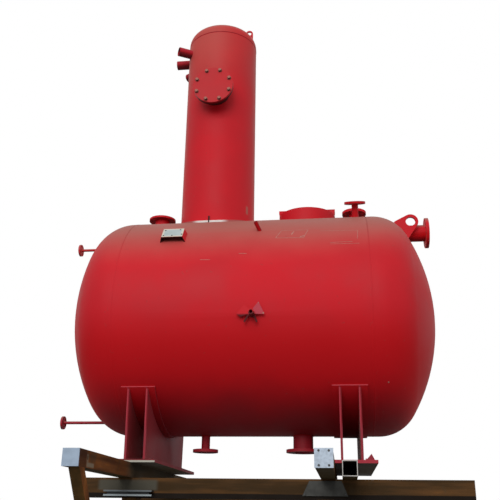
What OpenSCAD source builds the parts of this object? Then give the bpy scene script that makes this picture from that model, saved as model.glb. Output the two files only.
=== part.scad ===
// Deaerator: horizontal storage tank with a degassing tower on its back,
// carried by two saddles on a steel stand.
// Frame: origin on the ground under the middle of the tank, +Z up,
// X along the tank, front of the tank at -Y. Millimetres.

/* [Tank] */
// Height of the tank axis above the ground
axis_h = 2970; // [2700:10:3200]
// Outer diameter of the tank
tank_od = 1600; // [1560:10:1640]
// Tank plate thickness
tank_t = 8; // [6:1:12]
// Half length of the tank barrel, to the head seams
seam_x = 853; // [845:1:875]
// Straight flange of the left tank head
left_sf = 28; // [20:1:36]
// Straight flange of the right tank head
right_sf = 42; // [30:1:50]

/* [Tower] */
// Tower axis along the tank
tower_x = -299.5; // [-320:0.5:-280]
// Outer diameter of the tower
tower_od = 581; // [560:1:600]
// Tower plate thickness
tower_t = 7; // [5:1:10]
// Tower head seam above the tank axis
tower_seam = 2490; // [2440:5:2540]
// Straight flange of the tower head
tower_sf = 20; // [15:1:40]
// Width of the weld band round the tower foot
foot_weld = 15; // [10:1:20]

/* [Handhole] */
// Handhole centre above the tank axis
hand_z = 1880; // [1860:5:1900]
// Handhole pipe outer diameter
hand_pipe = 219.1; // [210:0.1:225]
// Handhole flange outer diameter
hand_od = 320; // [315:1:330]
// Handhole bolt circle diameter
hand_pcd = 280; // [272:1:286]
// Handhole bolt hole diameter
hand_hole = 18; // [16:1:20]
// Handhole flange thickness
hand_t = 18; // [16:1:24]
// Cover front face, distance in front of the tower axis
hand_face = 420; // [400:5:440]

/* [Tower fittings] */
// Height of the three tower stubs above the tank axis
stub_z = 2380; // [2350:5:2400]
// Tower stub pipe outer diameter
stub_od = 76.1; // [70:0.1:80]
// Distance of a stub end from the tower axis
stub_reach = 402; // [380:1:420]
// Angle between neighbouring stubs
stub_step = 30; // [26:1:34]
// Lifting eye centre inside the outer face of the tower
eye_in = 60.5; // [50:0.5:70]
// Lifting eye centre above the start of the tower head curve
eye_up = 156; // [140:1:165]
// Lifting eye outer radius
eye_r = 32; // [28:1:36]

/* [Manway] */
// Manway centre along the tank
man_x = 415; // [400:5:430]
// Manway collar outer diameter
man_od = 436; // [420:2:440]
// Manway collar plate thickness
man_t = 10; // [8:1:14]
// Manway collar top above the top line of the tank
man_rise = 75; // [68:1:85]
// Length of the manway yoke
yoke_l = 438; // [430:1:450]
// Yoke bar underside above the collar rim
yoke_gap = 30; // [25:1:36]
// Yoke bar thickness
yoke_t = 25; // [20:1:30]
// Yoke bar width
yoke_w = 60; // [40:5:80]

/* [Top nozzles] */
// Top left nozzle position along the tank
tl_x = -752; // [-760:1:-740]
// Top left nozzle pipe diameter
tl_pipe = 114.3; // [108:0.1:120]
// Top left nozzle flange diameter
tl_od = 210; // [205:1:215]
// Top left nozzle bolt circle
tl_pcd = 170; // [166:1:174]
// Top left nozzle face above the top line of the tank
tl_rise = 102; // [95:1:125]
// Right nozzle pair position along the tank
tr_x = 782; // [772:1:790]
// Rear right nozzle pipe diameter
tr_pipe = 76.1; // [70:0.1:80]
// Rear right nozzle flange diameter
tr_od = 185; // [180:1:190]
// Rear right nozzle bolt circle
tr_pcd = 145; // [142:1:148]
// Rear right nozzle face above the top line of the tank
tr_rise = 107; // [100:1:115]
// Small nozzle pipe diameter
sm_pipe = 48.3; // [45:0.1:54]
// Small nozzle flange diameter
sm_od = 155; // [150:1:160]
// Small nozzle bolt circle
sm_pcd = 115; // [112:1:118]
// Small nozzle face above the tank surface
sm_rise = 114; // [108:1:122]
// Tilt of the small nozzle from straight up, towards the front
sm_tilt = 19.3; // [17:0.1:22]

/* [Head and bottom nozzles] */
// Wall of the nozzle pipes
nozzle_t = 4; // [3:0.5:5]
// Right head nozzle pipe diameter
rh_pipe = 127; // [120:0.5:130]
// Right head nozzle centre below the top line of the tank
rh_in = 85; // [80:1:100]
// Right head nozzle flange diameter
rh_od = 232; // [225:1:240]
// Right head nozzle bolt circle
rh_pcd = 190; // [184:1:194]
// Right head nozzle face beyond the tank seam
rh_out = 483; // [478:1:510]
// Upper gauge nozzle centre below the top line of the tank
ug_in = 140; // [120:5:160]
// Lower gauge nozzle centre above the bottom line of the tank
lg_in = 95; // [85:5:110]
// Gauge nozzle face beyond the tank seam
gauge_out = 567; // [540:1:590]
// Gauge nozzle flange diameter
gauge_od = 95; // [90:1:100]
// Gauge nozzle bolt circle
gauge_pcd = 65; // [62:1:68]
// Bottom left nozzle position along the tank
bl_x = -335; // [-350:1:-320]
// Bottom left nozzle pipe diameter
bl_pipe = 60.3; // [57:0.1:64]
// Bottom left nozzle flange diameter
bl_od = 180; // [165:1:185]
// Bottom left nozzle bolt circle
bl_pcd = 135; // [125:1:140]
// Bottom right nozzle position along the tank
br_x = 363; // [350:1:375]
// Bottom right nozzle pipe diameter
br_pipe = 139.7; // [133:0.1:145]
// Bottom right nozzle flange diameter
br_od = 240; // [234:1:246]
// Bottom right nozzle bolt circle
br_pcd = 200; // [194:1:206]
// Bottom flange faces below the bottom line of the tank
bot_rise = 115; // [100:1:130]

/* [Lifting lug] */
// Lug plate position across the tank
lug_y = -100; // [-110:1:-90]
// Lug plate thickness
lug_t = 20; // [16:1:25]
// Lug hole radius
lug_r = 36; // [30:1:38]

/* [Sockets and nameplate] */
// Angled socket outer diameter
as_od = 28; // [21:0.1:30]
// Angled socket length
as_len = 70; // [55:1:80]
// Angled socket position along the tank
as_x = 105; // [95:1:115]
// Angled socket place round the tank, from straight up
as_ang = 47.4; // [45:0.1:50]
// Front socket outer diameter
fs_od = 38; // [34:1:42]
// Front socket position along the tank
fs_x = 85; // [75:1:95]
// Front socket below the tank axis
fs_drop = 124; // [110:1:130]
// Front socket end in front of the tank
fs_out = 70; // [60:1:80]
// Nameplate centre along the tank
plate_x = -496.5; // [-520:0.5:-490]
// Nameplate place round the tank, from straight up
plate_ang = 52.5; // [48:0.1:55]
// Nameplate length along the tank
plate_l = 147; // [130:1:155]
// Nameplate height
plate_h = 106; // [98:1:115]
// Nameplate bracket face above the tank
plate_out = 42; // [30:1:45]

/* [Saddles] */
// Saddle distance from the middle of the tank
saddle_x = 695; // [680:5:705]
// Width of the saddle wear plate along the tank
wear_w = 230; // [210:5:250]
// Wear plate thickness
wear_t = 10; // [8:1:12]
// Half angle the wear plate covers, from straight down
wear_ang = 47.3; // [45:0.1:50]
// Saddle web distance from the saddle middle
web_x = 63; // [55:1:70]
// Saddle web thickness
web_t = 15; // [12:1:18]
// Saddle base plate width along the tank
base_w = 310; // [290:5:320]
// Saddle base plate length across the tank
base_l = 1280; // [1240:10:1300]
// Saddle base plate thickness
base_t = 20; // [16:1:24]
// Underside of the saddle base plate below the tank axis
base_drop = 1030; // [1010:5:1040]

/* [Stand] */
// Side of the square cross beams
cross_s = 90; // [80:1:100]
// Wall of the cross beams
cross_t = 5; // [4:1:8]
// Half length of the long cross beams
reach_long = 1565; // [1500:5:1600]
// Half length of the short cross beam
reach_short = 870; // [850:5:900]
// Left cross beam position along the tank
cb_left = -742; // [-760:1:-730]
// Bracket beam position along the tank
cb_mid = 543; // [535:1:550]
// Right cross beam position along the tank
cb_right = 675; // [670:1:690]
// End cap thickness
cap_t = 6; // [4:1:8]
// Front face of the front long beam from the tank middle
long_y = 560; // [540:5:600]
// Width of the long beams
long_w = 100; // [80:5:120]
// Height of the long beams
long_h = 120; // [100:5:140]
// Wall of the long beams
long_t = 6; // [5:1:8]
// Left end of the long beams
long_x0 = -1030; // [-1080:5:-1000]
// Right end of the long beams
long_x1 = 1420; // [1200:5:1500]
// Left posts along the tank
post_left = -708; // [-720:1:-690]
// Right posts along the tank
post_right = 525; // [515:1:535]
// Side of the square posts
post_s = 100; // [90:5:120]
// Knee brace side
brace_s = 60; // [40:5:70]
// Knee brace foot below the cross beam
brace_drop = 1215; // [1150:5:1280]
// Foot plate side
foot_s = 220; // [200:10:260]
// Foot plate thickness
foot_t = 15; // [12:1:20]

/* [Hidden] */
$fn = 96;
fit = 0.3;
tank_r = tank_od / 2;
tank_in = tank_r - tank_t;
tower_r = tower_od / 2;
// crown and knuckle radii of the dished ends, as parts of the diameter
tank_ck = 0.8;
tank_kk = 0.18;
tower_ck = 0.9;
tower_kk = 0.17;
man_top = tank_r + man_rise;
big = 3000;
beam_top = axis_h - base_drop;
long_top = beam_top - cross_s;
long_bot = long_top - long_h;

// half outline of a dished end: straight flange, knuckle and crown
module dish_half(r, shrink, sf, ck, kk) {
  rc = 2 * r * ck;
  rk = 2 * r * kk;
  kx = r - rk;
  h = rc - sqrt((rc - rk) * (rc - rk) - kx * kx);
  c0 = h - rc;
  len = rc - rk;
  ux = kx / len;
  uy = (0 - c0) / len;
  intersection() {
    translate([0, c0]) circle(rc - shrink);
    polygon([[0, 0], [0, h + 50], [kx + ux * (rk + 60), uy * (rk + 60)],
      [kx, 0]]);
  }
  intersection() {
    translate([kx, 0]) circle(rk - shrink);
    square([r + 1, h + 1]);
  }
  translate([0, -sf]) square([r - shrink, sf]);
}
module dish(r, t, sf, ck, kk) {
  rotate_extrude($fn = 160)
    difference() {
      dish_half(r, 0, sf, ck, kk);
      dish_half(r, t, sf + 1, ck, kk);
    }
}
module pipe(od, t, z0, z1) {
  difference() {
    translate([0, 0, z0]) cylinder(r = od / 2, h = z1 - z0);
    translate([0, 0, z0 - 1]) cylinder(r = od / 2 - t, h = z1 - z0 + 2);
  }
}
module bolt_ring(pcd, n, d, z0, h) {
  for (i = [0 : n - 1])
    rotate([0, 0, (i + 0.5) * 360 / n])
      translate([pcd / 2, 0, z0]) cylinder(r = d / 2, h = h, $fn = 24);
}
// pipe along +Z from z0 with a flange whose outer face is at z1
module flanged(pod, pt, z0, z1, fod, ft, pcd, n, hole) {
  difference() {
    union() {
      translate([0, 0, z0]) cylinder(r = pod / 2, h = z1 - z0);
      translate([0, 0, z1 - ft]) cylinder(r = fod / 2, h = ft);
    }
    translate([0, 0, z0 - 1]) cylinder(r = pod / 2 - pt, h = z1 - z0 + 2);
    bolt_ring(pcd, n, hole, z1 - ft - 1, ft + 2);
  }
}
module up(x, y) { translate([x, y, axis_h]) children(); }
module tank_solid(extra) {
  translate([-big / 2, 0, axis_h]) rotate([0, 90, 0])
    cylinder(r = tank_r + extra, h = big, $fn = 160);
}
module hole_z(x, d, s) {
  translate([x, 0, axis_h + (s > 0 ? 0.7 : -1.1) * tank_r])
    cylinder(r = d / 2, h = 0.4 * tank_r);
}
module tilt_small() {
  translate([tr_x, 0, axis_h]) rotate([sm_tilt, 0, 0]) children();
}
module tilt_socket() {
  translate([as_x, 0, axis_h]) rotate([as_ang, 0, 0])
    translate([0, 0, tank_r]) rotate([0, -20, 0]) children();
}
module tower_clip(e) {
  translate([tower_x, 0, axis_h + sqrt(tank_r * tank_r - tower_r * tower_r)])
    rotate([0, 0, -3.2])
      translate([-5 - e, -tower_r - 10 - e, 1.5 - e])
        cube([10 + 2 * e, 11 + 2 * e, 48 + 2 * e]);
}

module tank_shell() {
  color("firebrick")
  difference() {
    translate([-seam_x, 0, axis_h]) rotate([0, 90, 0])
      cylinder(r = tank_r, h = 2 * seam_x, $fn = 160);
    translate([-seam_x - 1, 0, axis_h]) rotate([0, 90, 0])
      cylinder(r = tank_in, h = 2 * seam_x + 2, $fn = 160);
    hole_z(tower_x, tower_od - 2 * tower_t, 1);
    hole_z(man_x, man_od - 2 * man_t, 1);
    hole_z(tl_x, tl_pipe - 2 * nozzle_t, 1);
    hole_z(tr_x, tr_pipe - 2 * nozzle_t, 1);
    tilt_small() translate([0, 0, 0.7 * tank_r])
      cylinder(r = sm_pipe / 2 - nozzle_t, h = 0.4 * tank_r);
    hole_z(bl_x, bl_pipe - 2 * nozzle_t, -1);
    hole_z(br_x, br_pipe - 2 * nozzle_t, -1);
    tilt_socket() translate([0, 0, -60]) cylinder(r = as_od / 2 - 5, h = 120);
    translate([fs_x, -0.7 * tank_r, axis_h - fs_drop]) rotate([90, 0, 0])
      cylinder(r = fs_od / 2 - 7, h = 0.4 * tank_r);
  }
}
module tank_head_left() {
  color("firebrick")
  difference() {
    translate([-seam_x - left_sf, 0, axis_h]) rotate([0, -90, 0])
      dish(tank_r, tank_t, left_sf, tank_ck, tank_kk);
    for (z = [tank_r - ug_in, lg_in - tank_r])
      translate([-seam_x - tank_r, 0, axis_h + z]) rotate([0, 90, 0])
        cylinder(r = 8, h = 0.85 * tank_r);
  }
}
module tank_head_right() {
  color("firebrick")
  difference() {
    translate([seam_x + right_sf, 0, axis_h]) rotate([0, 90, 0])
      dish(tank_r, tank_t, right_sf, tank_ck, tank_kk);
    translate([seam_x + 97, 0, axis_h + tank_r - rh_in]) rotate([0, 90, 0])
      cylinder(r = rh_pipe / 2 - 7, h = 0.5 * tank_r);
  }
}
module tower_shell() {
  color("firebrick") {
    difference() {
      translate([tower_x, 0, axis_h])
        pipe(tower_od, tower_t, 0.75 * tank_r, tower_seam);
      tank_solid(fit);
      translate([tower_x, 0, axis_h + hand_z]) rotate([90, 0, 0])
        cylinder(r = hand_pipe / 2 - 8, h = 400);
      for (i = [-1 : 1])
        translate([tower_x, 0, axis_h + stub_z]) rotate([0, 0, i * stub_step])
          rotate([0, -90, 0]) cylinder(r = stub_od / 2 - 4, h = 400);
    }
    tower_clip(0);
  }
}
module tower_head() {
  color("firebrick")
  translate([tower_x, 0, axis_h + tower_seam + tower_sf])
    dish(tower_r, tower_t, tower_sf, tower_ck, tower_kk);
}
module tower_foot_weld() {
  color("white")
  difference() {
    intersection() {
      translate([tower_x, 0, axis_h])
        pipe(tower_od + 2 * foot_weld, foot_weld - fit, 0.75 * tank_r, 1.1 * tank_r);
      tank_solid(foot_weld);
    }
    tank_solid(fit);
    tower_clip(fit);
  }
}
module hand_place() {
  translate([tower_x, 0, axis_h + hand_z]) rotate([90, 0, 0]) children();
}
module handhole_neck() {
  color("firebrick")
  difference() {
    hand_place()
      flanged(hand_pipe, 8, 0.6 * tower_r, hand_face - hand_t, hand_od, hand_t,
        hand_pcd, 8, hand_hole);
    translate([tower_x, 0, axis_h + hand_z - 300]) cylinder(r = tower_r + fit, h = 600);
  }
}
module handhole_cover() {
  color("indianred")
  hand_place()
    difference() {
      translate([0, 0, hand_face - hand_t]) cylinder(r = hand_od / 2, h = hand_t);
      bolt_ring(hand_pcd, 8, hand_hole, hand_face - hand_t - 1, hand_t + 2);
    }
}
module tower_stub(a) {
  color("firebrick")
  difference() {
    translate([tower_x, 0, axis_h + stub_z]) rotate([0, 0, a]) rotate([0, -90, 0])
      pipe(stub_od, 4, 0.7 * tower_r, stub_reach);
    translate([tower_x, 0, axis_h + stub_z - 200]) cylinder(r = tower_r + fit, h = 400);
  }
}
module tower_stub_front() { tower_stub(stub_step); }
module tower_stub_left() { tower_stub(0); }
module tower_stub_rear() { tower_stub(-stub_step); }
module tower_eye() {
  color("firebrick")
  difference() {
    translate([tower_x + tower_r - eye_in, 6, axis_h + tower_seam + tower_sf])
      rotate([90, 0, 0])
        difference() {
          union() {
            translate([0, eye_up, 0]) cylinder(r = eye_r, h = 12);
            translate([-eye_r, 0.3 * eye_up, 0]) cube([2 * eye_r, 0.7 * eye_up, 12]);
          }
          translate([0, eye_up, -1]) cylinder(r = eye_r - 13, h = 14);
        }
    translate([tower_x, 0, axis_h + tower_seam + tower_sf]) rotate_extrude($fn = 160)
      translate([0, fit]) dish_half(tower_r, 0, 5, tower_ck, tower_kk);
  }
}
module manway_collar() {
  color("firebrick")
  difference() {
    translate([man_x, 0, axis_h]) {
      pipe(man_od, man_t, 0.87 * tank_r, man_top);
      pipe(man_od - 2 * man_t + 2, 31, man_top - 45, man_top - 30);
    }
    tank_solid(fit);
  }
}
module manway_cover() {
  color("firebrick")
  translate([man_x, 0, axis_h + man_top - 30]) {
    cylinder(r = man_od / 2 - man_t - 4, h = 16);
    cylinder(r = 12, h = 110, $fn = 32);
  }
}
module manway_yoke() {
  color("firebrick")
  translate([man_x, 0, axis_h + man_top]) {
    difference() {
      translate([-yoke_l / 2, -yoke_w / 2, yoke_gap]) cube([yoke_l, yoke_w, yoke_t]);
      translate([0, 0, yoke_gap - 1]) cylinder(r = 12 + fit, h = yoke_t + 2, $fn = 32);
    }
    for (s = [-1, 1])
      translate([s * (man_od / 2 - 12) - 10, -yoke_w / 2, 0])
        cube([20, yoke_w, yoke_gap + 0.01]);
  }
}
module top_left_nozzle() {
  color("firebrick")
  difference() {
    up(tl_x, 0) flanged(tl_pipe, nozzle_t, 0.87 * tank_r, tank_r + tl_rise,
      tl_od, 16, tl_pcd, 4, 18);
    tank_solid(fit);
  }
}
module top_right_nozzle() {
  color("firebrick")
  difference() {
    up(tr_x, 0) flanged(tr_pipe, nozzle_t, 0.87 * tank_r, tank_r + tr_rise,
      tr_od, 20, tr_pcd, 8, 18);
    tank_solid(fit);
  }
}
module small_top_nozzle() {
  color("firebrick")
  difference() {
    tilt_small() flanged(sm_pipe, nozzle_t, 0.87 * tank_r, tank_r + sm_rise,
      sm_od, 16, sm_pcd, 4, 18);
    tank_solid(fit);
  }
}
module head_cut(s) {
  translate([s * (seam_x + (s > 0 ? right_sf : left_sf)), 0, axis_h])
    rotate([0, s * 90, 0])
      rotate_extrude($fn = 160)
        translate([0, fit]) dish_half(tank_r, 0, 5, tank_ck, tank_kk);
}
module right_head_nozzle() {
  color("firebrick")
  difference() {
    translate([seam_x, 0, axis_h + tank_r - rh_in]) rotate([0, 90, 0])
      flanged(rh_pipe, 7, 130, rh_out, rh_od, 24, rh_pcd, 8, 22);
    head_cut(1);
  }
}
module gauge(z) {
  color("firebrick")
  difference() {
    translate([-seam_x, 0, axis_h + z]) rotate([0, -90, 0])
      flanged(21.3, 2.6, 147, gauge_out, gauge_od, 14, gauge_pcd, 4, 14);
    head_cut(-1);
  }
}
module upper_gauge_nozzle() { gauge(tank_r - ug_in); }
module lower_gauge_nozzle() { gauge(lg_in - tank_r); }
module bottom_left_nozzle() {
  color("firebrick")
  difference() {
    up(bl_x, 0) mirror([0, 0, 1])
      flanged(bl_pipe, nozzle_t, 0.87 * tank_r, tank_r + bot_rise, bl_od, 20, bl_pcd, 4, 22);
    tank_solid(fit);
  }
}
module bottom_right_nozzle() {
  color("firebrick")
  difference() {
    up(br_x, 0) mirror([0, 0, 1])
      flanged(br_pipe, nozzle_t, 0.87 * tank_r, tank_r + bot_rise, br_od, 20, br_pcd, 8, 18);
    tank_solid(fit);
  }
}
module head_lifting_lug() {
  color("firebrick")
  difference() {
    translate([seam_x + right_sf, lug_y + lug_t / 2, axis_h + tank_r]) rotate([90, 0, 0])
      difference() {
        union() {
          linear_extrude(lug_t)
            polygon([[279, 24], [190, -22], [105, -100], [105, -240],
              [225, -240], [285, -160], [352, -62]]);
          translate([305, -28, 0]) cylinder(r = 58, h = lug_t);
        }
        translate([305, -28, -1]) cylinder(r = lug_r, h = lug_t + 2);
      }
    head_cut(1);
  }
}
module angled_socket() {
  color("firebrick")
  difference() {
    tilt_socket() pipe(as_od, 5, -60, as_len);
    tank_solid(fit);
  }
}
module front_socket() {
  color("firebrick")
  translate([fs_x, 0, axis_h - fs_drop])
    difference() {
      union() {
        translate([0, -0.9 * tank_r, 0]) rotate([90, 0, 0])
          cylinder(r = fs_od / 2, h = fs_out + 0.1 * tank_r);
        translate([-5, -tank_r - 6, 10]) rotate([90, 0, 0]) linear_extrude(6)
          polygon([[6, 14], [47, 60], [82, -11], [22, -13], [43, -60], [34, -68],
            [8, -18], [-12, -18], [-40, -68], [-49, -60], [-22, -13], [-68, -30],
            [-97, -10], [-44, 52], [-6, 14]]);
      }
      translate([0, -0.8 * tank_r, 0]) rotate([90, 0, 0])
        cylinder(r = fs_od / 2 - 7, h = 0.5 * tank_r);
      translate([-200, 0, fs_drop]) rotate([0, 90, 0])
        cylinder(r = tank_r + fit, h = 400, $fn = 160);
    }
}
module plate_place() {
  translate([plate_x, 0, axis_h]) rotate([plate_ang, 0, 0])
    translate([0, 0, tank_r]) children();
}
module nameplate_bracket() {
  color("firebrick")
  difference() {
    plate_place() translate([0, plate_h / 2 + 2, 0]) rotate([90, 0, 0])
      difference() {
        linear_extrude(plate_h + 4)
          polygon([[-plate_l / 2 - 2, plate_out], [-plate_l / 2 - 18, -10],
            [plate_l / 2 + 18, -10], [plate_l / 2 + 2, plate_out]]);
        translate([0, 0, 4]) linear_extrude(plate_h + 4)
          polygon([[-plate_l / 2 + 3, plate_out - 4], [-plate_l / 2 - 12, -11],
            [plate_l / 2 + 12, -11], [plate_l / 2 - 3, plate_out - 4]]);
      }
    tank_solid(fit);
  }
}
module nameplate() {
  color("lightgray")
  plate_place() translate([-plate_l / 2, -plate_h / 2, plate_out]) cube([plate_l, plate_h, 2]);
}
module saddle(x) {
  color("firebrick")
  translate([x, 0, axis_h]) {
    difference() {
      intersection() {
        translate([-wear_w / 2, 0, 0]) rotate([0, 90, 0])
          cylinder(r = tank_r + wear_t, h = wear_w, $fn = 160);
        translate([-wear_w, 0, 0]) rotate([90, 0, 90])
          linear_extrude(2 * wear_w)
            polygon([[0, 0], [-2 * tank_r * sin(wear_ang), -2 * tank_r * cos(wear_ang)],
              [2 * tank_r * sin(wear_ang), -2 * tank_r * cos(wear_ang)]]);
      }
      translate([-wear_w, 0, 0]) rotate([0, 90, 0])
        cylinder(r = tank_r + fit, h = 2 * wear_w, $fn = 160);
    }
    for (s = [-1, 1])
      difference() {
        translate([s * web_x - web_t / 2, 0, 0]) rotate([90, 0, 90])
          linear_extrude(web_t)
            polygon([[-0.734 * tank_r, -0.681 * tank_r], [0.734 * tank_r, -0.681 * tank_r],
              [0.7 * tank_r, base_t - base_drop - 0.01],
              [-0.7 * tank_r, base_t - base_drop - 0.01]]);
        translate([-wear_w, 0, 0]) rotate([0, 90, 0])
          cylinder(r = tank_r + wear_t - 3, h = 2 * wear_w, $fn = 160);
      }
    translate([-base_w / 2, -base_l / 2, -base_drop]) cube([base_w, base_l, base_t]);
  }
}
module saddle_left() { saddle(-saddle_x); }
module saddle_right() {
  saddle(saddle_x);
  color("firebrick")
  translate([saddle_x, -base_l / 2 + 12, axis_h + base_t - base_drop]) rotate([90, 0, 0])
    linear_extrude(8)
      polygon([[78, -1], [80, 11], [87, 5], [116, 36], [135, -1]]);
}
module tube_y(x, half, y_open) {
  translate([x - cross_s / 2, -half, long_top])
    difference() {
      cube([cross_s, 2 * half + y_open, cross_s]);
      translate([cross_t, -1, cross_t])
        cube([cross_s - 2 * cross_t, 2 * half + 1 + (y_open > 0 ? 0 : 1), cross_s - 2 * cross_t]);
    }
}
module cross_beam_left() {
  color("saddlebrown") tube_y(cb_left, reach_long, cap_t);
}
module cross_beam_right() {
  color("saddlebrown") tube_y(cb_right, reach_short, 0);
}
module bracket_beam() {
  color("saddlebrown") tube_y(cb_mid, reach_long, cap_t);
}
module left_end_cap() {
  color("lightsteelblue")
  translate([cb_left - cross_s / 2, -reach_long - cap_t, long_top])
    cube([cross_s, cap_t, cross_s]);
}
module right_end_cap() {
  color("lightsteelblue")
  translate([cb_mid - cross_s / 2 - 2, -reach_long - cap_t, long_top - 2])
    difference() {
      cube([cross_s + 4, cap_t, cross_s + 4]);
      for (a = [-1, 1])
        for (b = [-1, 1])
          translate([cross_s * (0.5 + 0.28 * a) + 2, -1, cross_s * (0.5 + 0.39 * b) + 2])
            rotate([-90, 0, 0]) cylinder(r = 5, h = cap_t + 2, $fn = 24);
    }
}
module long_beam(y0) {
  color("sienna")
  translate([long_x0, y0, long_bot])
    difference() {
      cube([long_x1 - long_x0, long_w, long_h]);
      translate([-1, long_t, long_t])
        cube([long_x1 - long_x0 + 2, long_w - 2 * long_t, long_h - 2 * long_t]);
    }
}
module long_beam_front() { long_beam(-long_y); }
module long_beam_back() { long_beam(long_y - long_w); }
module front_shelf() {
  color("dimgray")
  translate([post_left - 155, -long_y - 60, long_top - 112]) {
    cube([310, 60, 10]);
    translate([0, 0, 26]) cube([310, 60, 10]);
    translate([20, 15, 9.99]) cube([270, 45, 16.02]);
  }
}
module front_gusset() {
  color("dimgray")
  translate([post_right - 3, -long_y, long_top]) rotate([90, 0, 0])
    difference() {
      linear_extrude(10)
        polygon([[-140, -100], [140, -100], [103, -11], [-96, -11]]);
      translate([-125, -90, -1]) cylinder(r = 5, h = 12, $fn = 24);
      translate([125, -90, -1]) cylinder(r = 5, h = 12, $fn = 24);
    }
}
module post(x, s) {
  color("sienna")
  translate([x, s * (long_y - long_w / 2), 0]) {
    difference() {
      translate([-post_s / 2, -post_s / 2, foot_t]) cube([post_s, post_s, long_bot - foot_t]);
      translate([-post_s / 2 + 6, -post_s / 2 + 6, foot_t + 5])
        cube([post_s - 12, post_s - 12, long_bot - foot_t - 17]);
    }
    difference() {
      translate([-foot_s / 2, -foot_s / 2, 0]) cube([foot_s, foot_s, foot_t]);
      for (a = [-1, 1])
        for (b = [-1, 1])
          translate([a * (foot_s / 2 - 28), b * (foot_s / 2 - 28), -1])
            cylinder(r = 9, h = foot_t + 2, $fn = 24);
    }
  }
}
module brace(s) {
  color("sienna")
  translate([cb_left + cross_s / 2, 0, long_top]) mirror([0, s > 0 ? 1 : 0, 0])
    rotate([90, 0, 90])
      translate([0, 0, -brace_s]) linear_extrude(brace_s)
        polygon([[-reach_long + 15, 0], [-reach_long + 15 + 1.3 * brace_s, 0],
          [-long_y, 1.6 * brace_s - brace_drop], [-long_y, -brace_drop]]);
}
module post_front_left() { post(post_left, -1); }
module post_front_right() { post(post_right, -1); }
module post_back_left() { post(post_left, 1); }
module post_back_right() { post(post_right, 1); }
module knee_brace_front() { brace(-1); }
module knee_brace_back() { brace(1); }

tank_shell();
tank_head_left();
tank_head_right();
tower_shell();
tower_head();
tower_foot_weld();
handhole_neck();
handhole_cover();
tower_stub_front();
tower_stub_left();
tower_stub_rear();
tower_eye();
manway_collar();
manway_cover();
manway_yoke();
top_left_nozzle();
top_right_nozzle();
small_top_nozzle();
right_head_nozzle();
upper_gauge_nozzle();
lower_gauge_nozzle();
bottom_left_nozzle();
bottom_right_nozzle();
head_lifting_lug();
angled_socket();
front_socket();
nameplate_bracket();
nameplate();
saddle_left();
saddle_right();
cross_beam_left();
cross_beam_right();
bracket_beam();
left_end_cap();
right_end_cap();
long_beam_front();
long_beam_back();
front_shelf();
front_gusset();
post_front_left();
post_front_right();
post_back_left();
post_back_right();
knee_brace_front();
knee_brace_back();
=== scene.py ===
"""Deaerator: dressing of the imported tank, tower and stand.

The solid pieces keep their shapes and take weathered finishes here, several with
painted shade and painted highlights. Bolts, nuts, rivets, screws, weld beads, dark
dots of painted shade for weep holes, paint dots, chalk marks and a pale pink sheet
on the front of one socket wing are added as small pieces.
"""

import math

import bpy
import numpy as np
from mathutils import Matrix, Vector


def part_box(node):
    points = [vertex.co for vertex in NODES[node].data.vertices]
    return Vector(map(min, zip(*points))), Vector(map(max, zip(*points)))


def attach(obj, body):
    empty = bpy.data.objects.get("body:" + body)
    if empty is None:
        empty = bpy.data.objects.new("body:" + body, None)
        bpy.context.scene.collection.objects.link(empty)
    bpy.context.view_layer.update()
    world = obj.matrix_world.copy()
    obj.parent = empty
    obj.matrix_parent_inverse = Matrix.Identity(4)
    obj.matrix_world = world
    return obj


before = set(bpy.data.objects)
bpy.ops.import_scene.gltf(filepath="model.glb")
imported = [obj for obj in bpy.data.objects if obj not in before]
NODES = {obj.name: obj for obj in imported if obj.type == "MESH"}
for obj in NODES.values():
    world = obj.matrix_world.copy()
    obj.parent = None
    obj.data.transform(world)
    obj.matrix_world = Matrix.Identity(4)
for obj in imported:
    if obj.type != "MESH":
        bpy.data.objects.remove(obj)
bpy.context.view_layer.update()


def middle(node):
    """Middle of a solid's box."""
    low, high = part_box(node)
    return np.array([(a + b) / 2 for a, b in zip(low, high)])


AXIS_Z = middle("tank_shell")[2]
TANK_R = (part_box("tank_shell")[1][1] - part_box("tank_shell")[0][1]) / 2
SEAM_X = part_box("tank_shell")[1][0]
TOWER_X = middle("tower_head")[0]
TOWER_R = (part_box("tower_head")[1][0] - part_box("tower_head")[0][0]) / 2
TOWER_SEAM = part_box("tower_shell")[1][2]
SADDLE_X = middle("saddle_right")[0]
SADDLE_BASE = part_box("saddle_right")[0][2]
BEAM_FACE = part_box("long_beam_front")[0][1]
BEAM_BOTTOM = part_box("long_beam_front")[0][2]
WEAR_R = TANK_R + 0.010  # outside of the saddles' wear plates
PLATE = middle("nameplate")
PLATE_TILT = math.radians(52.5)
PLATE_OUT = np.array([0, -math.sin(PLATE_TILT), math.cos(PLATE_TILT)])
PLATE_UP = np.array([0, math.cos(PLATE_TILT), math.sin(PLATE_TILT)])
SINK = 0.0005  # how far a small piece is let into what carries it
HAND_PCD_R = 0.140  # bolt circle of the handhole
HAND_GRIP = 0.036  # handhole cover and flange together
SEAM_BEAD = 0.005  # half width of a seam's weld bead
FOOT_BEAD = 0.006  # half width and height of a bead at a pipe's foot


# ---------------------------------------------------------------- surfaces
def add_mesh(name, vertices, faces, material, slot):
    """A mesh piece from arrays, riding on the fixed body."""
    mesh = bpy.data.meshes.new(name)
    mesh.from_pydata(np.asarray(vertices, float).tolist(), [], faces)
    mesh.materials.append(material)
    mesh.update()
    piece = bpy.data.objects.new(name, mesh)
    bpy.context.scene.collection.objects.link(piece)
    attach(piece, "root")
    return piece


def quads(rows, columns, close_u, close_v, start=0):
    """Faces of a grid of rows by columns, joined end to end where asked."""
    i = np.arange(rows if close_u else rows - 1)[:, None]
    j = np.arange(columns if close_v else columns - 1)[None, :]
    a = i * columns + j
    b = i * columns + (j + 1) % columns
    c = ((i + 1) % rows) * columns + (j + 1) % columns
    d = ((i + 1) % rows) * columns + j
    return (np.stack([a, b, c, d], -1).reshape(-1, 4) + start).tolist()


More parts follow.
